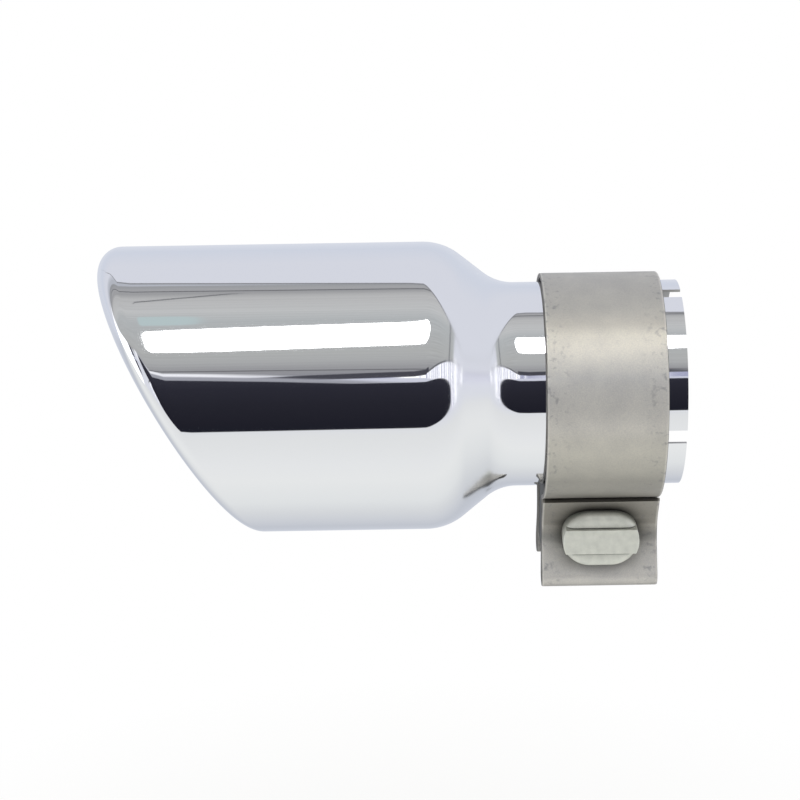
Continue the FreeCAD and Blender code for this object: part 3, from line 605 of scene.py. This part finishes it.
def head_top(x, z):
    """Height of the head's face: a raised band between two flanks, with rounded shoulders."""
    over_x = abs(x) - (HEAD_LENGTH / 2 - HEAD_CORNER)
    over_z = abs(z) - (HEAD_WIDTH / 2 - HEAD_CORNER)
    outside = math.hypot(max(over_x, 0), max(over_z, 0)) + min(max(over_x, over_z), 0)
    inside = max(0.0, HEAD_CORNER - outside)
    on_flank = abs(z) > HEAD_BAND / 2
    shoulder = FLANK_SHOULDER if on_flank else BAND_SHOULDER
    lean = max(0.0, shoulder - inside)
    face = HEAD_HEIGHT - (HEAD_STEP if on_flank else 0.0)
    if on_flank and abs(z) < HEAD_BAND / 2 + GROOVE_WIDTH:
        face -= HEAD_GROOVE
    return face - shoulder + math.sqrt(max(0.0, shoulder ** 2 - lean ** 2))


def head_foot(x, z):
    """Height of the head's underside, which is curved across z to lie in the ear's saddle."""
    return SADDLE_R - math.sqrt((SADDLE_R - HEAD_PLAY) ** 2 - z ** 2)


bolt_mesh = bmesh.new()
rims = []
for height in (head_top, head_foot):
    rows = []
    for z in head_rows():
        places = [(x, -SADDLE_FOOT - height(x, z), z - BOLT_DEPTH) for x in head_row(z)]
        rows.append([bolt_mesh.verts.new(place) for place in places])
    for row, following in zip(rows, rows[1:]):
        for a, b, c, d in zip(row, row[1:], following[1:], following):
            bolt_mesh.faces.new((a, b, c, d))
    left = [row[0] for row in rows[-2:0:-1]]
    right = [row[-1] for row in rows[1:]]
    rims.append(rows[0] + right + rows[-1][-2::-1] + left)
for at in range(len(rims[0])):
    after = (at + 1) % len(rims[0])
    bolt_mesh.faces.new((rims[0][at], rims[0][after], rims[1][after], rims[1][at]))

# The thread's crest climbs one pitch a turn, on the rear half of the shank, and fades out at
# the chamfered end. Its flanks take up most of each pitch, and the flat crest the rest
TURN_POINTS = 48
RINGS_A_PITCH = 12
shank_start = -SADDLE_FOOT - HEAD_HEIGHT / 2
ring_count = int((SHANK_END - shank_start) / (THREAD_PITCH / RINGS_A_PITCH))
rings = []
for y in steps(shank_start, SHANK_END, ring_count):
    most = THREAD_R - max(0.0, y - (SHANK_END - END_CHAMFER))
    ring = []
    for at in range(TURN_POINTS):
        turn = at / TURN_POINTS
        phase = (y / THREAD_PITCH - turn) % 1
        crest = min(1.0, abs(phase - 0.5) * 2 / THREAD_FLANKS) if y > 0 else 1.0
        radius = min(most, THREAD_R - THREAD_DEPTH * (1 - crest))
        angle = 2 * math.pi * turn
        ring.append(bolt_mesh.verts.new(
            (radius * math.cos(angle), y, radius * math.sin(angle) - BOLT_DEPTH)
        ))
    rings.append(ring)
for here, there in zip(rings, rings[1:]):
    for at in range(TURN_POINTS):
        after = (at + 1) % TURN_POINTS
        bolt_mesh.faces.new((here[at], here[after], there[after], there[at]))
for ring in (rings[0], rings[-1]):
    bolt_mesh.faces.new(ring)
bolt = finish_mesh(bolt_mesh, "bolt_skin", math.radians(32))
bolt.data.transform(clamp_place)
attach(bolt, "root")
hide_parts("clamp_bolt")

# Zinc plating on cold formed steel: pale, slightly green and matt, mottled where it was dulled,
# with painted shade from ambient occlusion along its steps. Its grain is drawn coarser than it
# is, so that it shows
MOTTLES = 2.5 * MM
GRAIN = 0.35 * MM
STEP_SHADE_REACH = 6 * MM
zinc, tree, shader = new_material("zinc_plated_steel")
shader.inputs["Metallic"].default_value = 0.6
shader.inputs["Roughness"].default_value = 0.55
place = add(tree, "ShaderNodeTexCoord").outputs["Object"]
mottles = add(tree, "ShaderNodeTexNoise", Vector=place, Scale=1 / MOTTLES, Detail=5.0)
tint = add(
    tree, "ShaderNodeMix", {"data_type": "RGBA"}, Factor=mottles.outputs[0],
    _6=linear("#C9CBC2"), _7=linear("#EEEFE5"),
)
step_shade = add(
    tree, "ShaderNodeAmbientOcclusion", {"samples": 8}, Color=tint.outputs[2],
    Distance=STEP_SHADE_REACH,
)
tree.links.new(step_shade.outputs[0], shader.inputs["Base Color"])
grain = add(tree, "ShaderNodeTexNoise", Vector=place, Scale=1 / GRAIN, Detail=2.0)
bump = add(tree, "ShaderNodeBump", Height=grain.outputs[0], Distance=0.03 * MM, Strength=0.5)
tree.links.new(bump.outputs[0], shader.inputs["Normal"])
bolt.data.materials.append(zinc)


# --- Washer, nut and block -----------------------------------------------------------------
# The half-round washer and the nut are plated like the bolt. The block that keeps the ears
# apart is pressed from steel powder and sintered.
for node in ("saddle_washer", "hex_nut"):
    frame["nodes"][node].material_slots[0].material = zinc

# Sintered steel: matt and dark grey where soot dulled its plating, with fine pits that are
# drawn several times as coarse as they are so that they show
PITS = 0.8 * MM
sintered, tree, shader = new_material("sintered_steel")
shader.inputs["Metallic"].default_value = 1
shader.inputs["Roughness"].default_value = 0.6
shader.inputs["Base Color"].default_value = linear("#535350")
place = add(tree, "ShaderNodeTexCoord").outputs["Object"]
pits = add(tree, "ShaderNodeTexNoise", Vector=place, Scale=1 / PITS, Detail=3.0)
bump = add(tree, "ShaderNodeBump", Height=pits.outputs[0], Distance=0.04 * MM, Strength=0.5)
tree.links.new(bump.outputs[0], shader.inputs["Normal"])
frame["nodes"]["reaction_block"].material_slots[0].material = sintered


# --- Studio --------------------------------------------------------------------------------
# A white tent, with a grey cloth softbox and its bright strip overhead in front, the dark
# room behind the camera, and a white table. Only reflections see it: the eye sees white.
world = bpy.data.worlds.new("studio")
bpy.context.scene.world = world
world.use_nodes = True
tree = world.node_tree
tree.nodes.clear()

# A direction is given by its share towards +X and by its climb from the front over the top
direction = add(tree, "ShaderNodeTexCoord").outputs["Generated"]
parts = add(tree, "ShaderNodeSeparateXYZ", Vector=direction)
across = parts.outputs[0]
front = add(tree, "ShaderNodeMath", {"operation": "MULTIPLY"}, _0=parts.outputs[1], _1=-1.0)
turn = add(
    tree, "ShaderNodeMath", {"operation": "ARCTAN2"}, _0=parts.outputs[2], _1=front.outputs[0]
)
climb = add(
    tree, "ShaderNodeMath", {"operation": "MULTIPLY"}, _0=turn.outputs[0], _1=math.degrees(1)
).outputs[0]


def card(under, x_span, climb_span, lean, soft, paint, oblong=True):
    """Lay one soft-edged card, a rounded oblong or an oval, over what the room shows so far.

    Its climb is given at the middle of the room, and changes sideways with its lean. Its
    edge fades out over the share of its size that soft gives.
    """
    x_half = (x_span[1] - x_span[0]) / 2
    climb_half = (climb_span[1] - climb_span[0]) / 2
    level = add(
        tree, "ShaderNodeMath", {"operation": "MULTIPLY_ADD"}, _0=across, _1=-lean, _2=climb
    )
    spot = add(tree, "ShaderNodeCombineXYZ", X=across, Y=level.outputs[0])
    local = add(
        tree, "ShaderNodeVectorMath", {"operation": "MULTIPLY_ADD"}, _0=spot.outputs[0],
        _1=(1 / x_half, 1 / climb_half, 0),
        _2=(-sum(x_span) / 2 / x_half, -sum(climb_span) / 2 / climb_half, 0),
    ).outputs[0]
    if oblong:
        local = add(
            tree, "ShaderNodeVectorMath", {"operation": "MULTIPLY"}, _0=local, _1=local
        ).outputs[0]
    reach = add(tree, "ShaderNodeVectorMath", {"operation": "DOT_PRODUCT"}, _0=local, _1=local)
    inside = add(
        tree, "ShaderNodeMapRange", Value=reach.outputs["Value"],
        _1=1 + soft, _2=1 - soft, _3=0.0, _4=1.0,
    )
    return add(
        tree, "ShaderNodeMix", {"data_type": "RGBA"},
        Factor=inside.outputs[0], _6=under, _7=paint,
    ).outputs[2]


bare_wall = room = shades(tree, climb, [
    (-180, "#DCE0EA"), (-161, "#D8DCE6"), (-140, "#CBCFD8"), (-129, "#C8CCD4"),
    (-117, "#D2D5DB"), (-99, "#DFE1E3"), (-85, "#EAECEC"), (-60, "#F1F2F1"), (-45, "#EFF0F0"),
    (-20, "#E9EAEA"), (-8, "#E2E4EC"), (60, "#E1E3EC"), (105, "#DEE0E9"), (135, "#DEE0E9"),
    (161, "#D6DBE7"), (180, "#DCE0EA"),
])
# A lamp far to the left, beside a dark stand, lights the rolled lip
SIDE_POWER = [1.8, 1.8, 1.85, 1]
room = card(room, (-1.1, -0.82), (-20, 110), 0, 0.2, SIDE_POWER)
room = card(room, (-0.80, -0.72), (8, 84), 0, 0.3, linear("#3C3C46"))
# The curtain beside the softbox hangs in folds
FOLD_POWER = [1.5, 1.5, 1.5, 1]
folds = add(
    tree, "ShaderNodeTexNoise", {"noise_dimensions": "1D"}, W=across, Scale=45.0, Detail=2.0
)
crisp = add(
    tree, "ShaderNodeMapRange", Value=folds.outputs[0], _1=0.44, _2=0.56, _3=0.0, _4=1.0
)
curtain = add(
    tree, "ShaderNodeMix", {"data_type": "RGBA"}, Factor=crisp.outputs[0],
    _6=linear("#A9ABC6"), _7=FOLD_POWER,
).outputs[2]
room = card(room, (0.35, 0.88), (2, 62), -10, 0.3, curtain)
# The softbox's cloth is brightest overhead, and unevenly lit
cloth = shades(tree, climb, [
    (18, "#8A8A92"), (26, "#92929A"), (32, "#9E9EA1"), (40, "#B5B6B6"), (46, "#B9BAB9"),
    (73, "#BCBFC0"), (82, "#C9CACA"), (91, "#C4C4C4"), (95.5, "#C0C0C0"), (98, "#B0B0B1"),
    (100.5, "#A4A4A6"), (103, "#AEAEB0"), (107, "#A4A5A8"), (112, "#9C9DA0"),
])
on_cloth = add(tree, "ShaderNodeCombineXYZ", X=across, Y=climb)
patches = add(
    tree, "ShaderNodeTexNoise", Vector=on_cloth.outputs[0], Scale=1.5, Detail=3.0
)
uneven = add(
    tree, "ShaderNodeMapRange", Value=patches.outputs[0], _1=0.3, _2=0.7, _3=0.86, _4=1.06
)
cloth = add(
    tree, "ShaderNodeVectorMath", {"operation": "SCALE"}, _0=cloth, Scale=uneven.outputs[0]
).outputs[0]
room = card(room, (-0.95, 0.70), (30, 117), -12, 0.42, linear("#BBBEC6"))
room = card(room, (-0.95, 0.80), (27, 107), -12, 0.04, cloth)
# A dark seam runs round it, and shows between two cards of nearly the same size
SEAM = linear("#6C6D71")
room = card(room, (-0.90, 0.72), (31, 101.6), -10, 0.016, SEAM)
room = card(room, (-0.90, 0.70), (31.7, 100.7), -10, 0.016, cloth)
# It narrows to the right, between the curtain below and the bare wall above, each with a seam
room = card(room, (-0.6, 1.4), (0, 28), 21, 0.02, SEAM)
room = card(room, (-0.6, 1.4), (0, 26.5), 21, 0.02, curtain)
room = card(room, (-0.6, 1.4), (106, 160), -38, 0.02, linear("#8E8F93"))
room = card(room, (-0.6, 1.4), (107.5, 160), -38, 0.02, bare_wall)
# Another seam rises over it, and a pale corner lies beside the strip
room = card(room, (-0.121, -0.069), (110.4, 111.4), 170, 0.5, linear("#66676B"))
room = card(room, (-0.121, -0.085), (70, 78), 0, 0.5, linear("#BCCBCC"))
# The bright strip of the lamp, round at one end and drawn out at the other
STRIP_POWER = [9.0, 9.0, 9.0, 1]
room = card(room, (-0.1225, 0.03), (50.8, 69.3), 35, 0.12, STRIP_POWER)
room = card(room, (-0.10, 0.165), (50.8, 69.3), 30, 0.12, STRIP_POWER, oblong=False)
# The lit edge under the cloth, which a shadow crosses
room = card(room, (-0.9, 0.5), (20.5, 24.5), -5, 0.4, linear("#D4D6E3"))
room = card(room, (-0.6, -0.058), (19.0, 29.5), -22, 0.2, linear("#FAFAFF"))
room = card(room, (-0.062, 0.12), (25.2, 29.4), 35, 0.4, linear("#4A4A52"))
# The dark room behind the camera
dark = shades(tree, climb, [
    (-16, "#1F2029"), (-8, "#22222B"), (5, "#26262F"), (18, "#2C2C36"), (24, "#33333D"),
])
room = card(room, (-0.5, 0.02), (-5, 25.2), -37, 0.12, linear("#A4A5AE"))
room = card(room, (-0.5, 0.74), (-15, 21), 8, 0.05, dark)
room = card(room, (-0.5, 0.02), (-5, 22.2), -37, 0.05, dark)

seen = add(tree, "ShaderNodeLightPath")
mirrored = add(
    tree, "ShaderNodeMath", {"operation": "MAXIMUM"},
    _0=seen.outputs["Is Glossy Ray"], _1=seen.outputs["Is Transmission Ray"],
)
studio = add(tree, "ShaderNodeBackground", Color=room, Strength=1.0)
plain = add(tree, "ShaderNodeBackground", Color=linear("#FFFFFF"), Strength=1.0)
both = add(
    tree, "ShaderNodeMixShader",
    Fac=mirrored.outputs[0], _1=plain.outputs[0], _2=studio.outputs[0],
)
add(tree, "ShaderNodeOutputWorld", Surface=both.outputs[0])

# The table lies well below the part, and is overexposed to white except close under it,
# where it keeps the shadow
FLOOR_Z = -0.26
FLOOR_HALF = 3.0
floor_mesh = bmesh.new()
bmesh.ops.create_grid(floor_mesh, x_segments=8, y_segments=8, size=FLOOR_HALF)
floor = finish_mesh(floor_mesh, "floor", math.radians(30))
floor.location.z = FLOOR_Z
floor.visible_glossy = False
pale, tree, shader = new_material("white_table")
shader.inputs["Base Color"].default_value = linear("#F6F6F4")
shader.inputs["Roughness"].default_value = 0.9
place = add(tree, "ShaderNodeTexCoord").outputs["Object"]
away = add(tree, "ShaderNodeVectorMath", {"operation": "DISTANCE"}, _0=place, _1=(-0.1, 0, 0))
washed_out = add(
    tree, "ShaderNodeMapRange", Value=away.outputs["Value"], _1=0.12, _2=0.30, _3=0.5, _4=1.0
)
seen = add(tree, "ShaderNodeLightPath")
glow = add(tree, "ShaderNodeEmission", Color=linear("#FFFFFF"), Strength=1.0)
share = add(
    tree, "ShaderNodeMath", {"operation": "MULTIPLY"},
    _0=seen.outputs["Is Camera Ray"], _1=washed_out.outputs[0],
)
mixed = add(
    tree, "ShaderNodeMixShader", Fac=share.outputs[0], _1=shader.outputs[0], _2=glow.outputs[0]
)
output = next(node for node in tree.nodes if node.type == "OUTPUT_MATERIAL")
tree.links.new(mixed.outputs[0], output.inputs["Surface"])
floor.data.materials.append(pale)


# --- Camera --------------------------------------------------------------------------------
# A long lens in front of the middle of the tip, looking 19 degrees down, and held about one
# degree off level
PITCH = 0.3315
ROLL = 0.0165
camera = bpy.data.objects.new("camera", bpy.data.cameras.new("camera"))
bpy.context.scene.collection.objects.link(camera)
camera.location = (-0.09785, -0.7820, 0.2638)
look = Vector((0, math.cos(PITCH), -math.sin(PITCH)))
right = Vector((1, 0, 0))
up = right.cross(look)
turned_right = right * math.cos(ROLL) - up * math.sin(ROLL)
turned_up = right * math.sin(ROLL) + up * math.cos(ROLL)
camera.rotation_euler = Matrix((turned_right, turned_up, -look)).transposed().to_euler()
camera.data.lens = 104.8
camera.data.sensor_width = 36
bpy.context.scene.camera = camera
bpy.context.scene.view_settings.view_transform = "Standard"
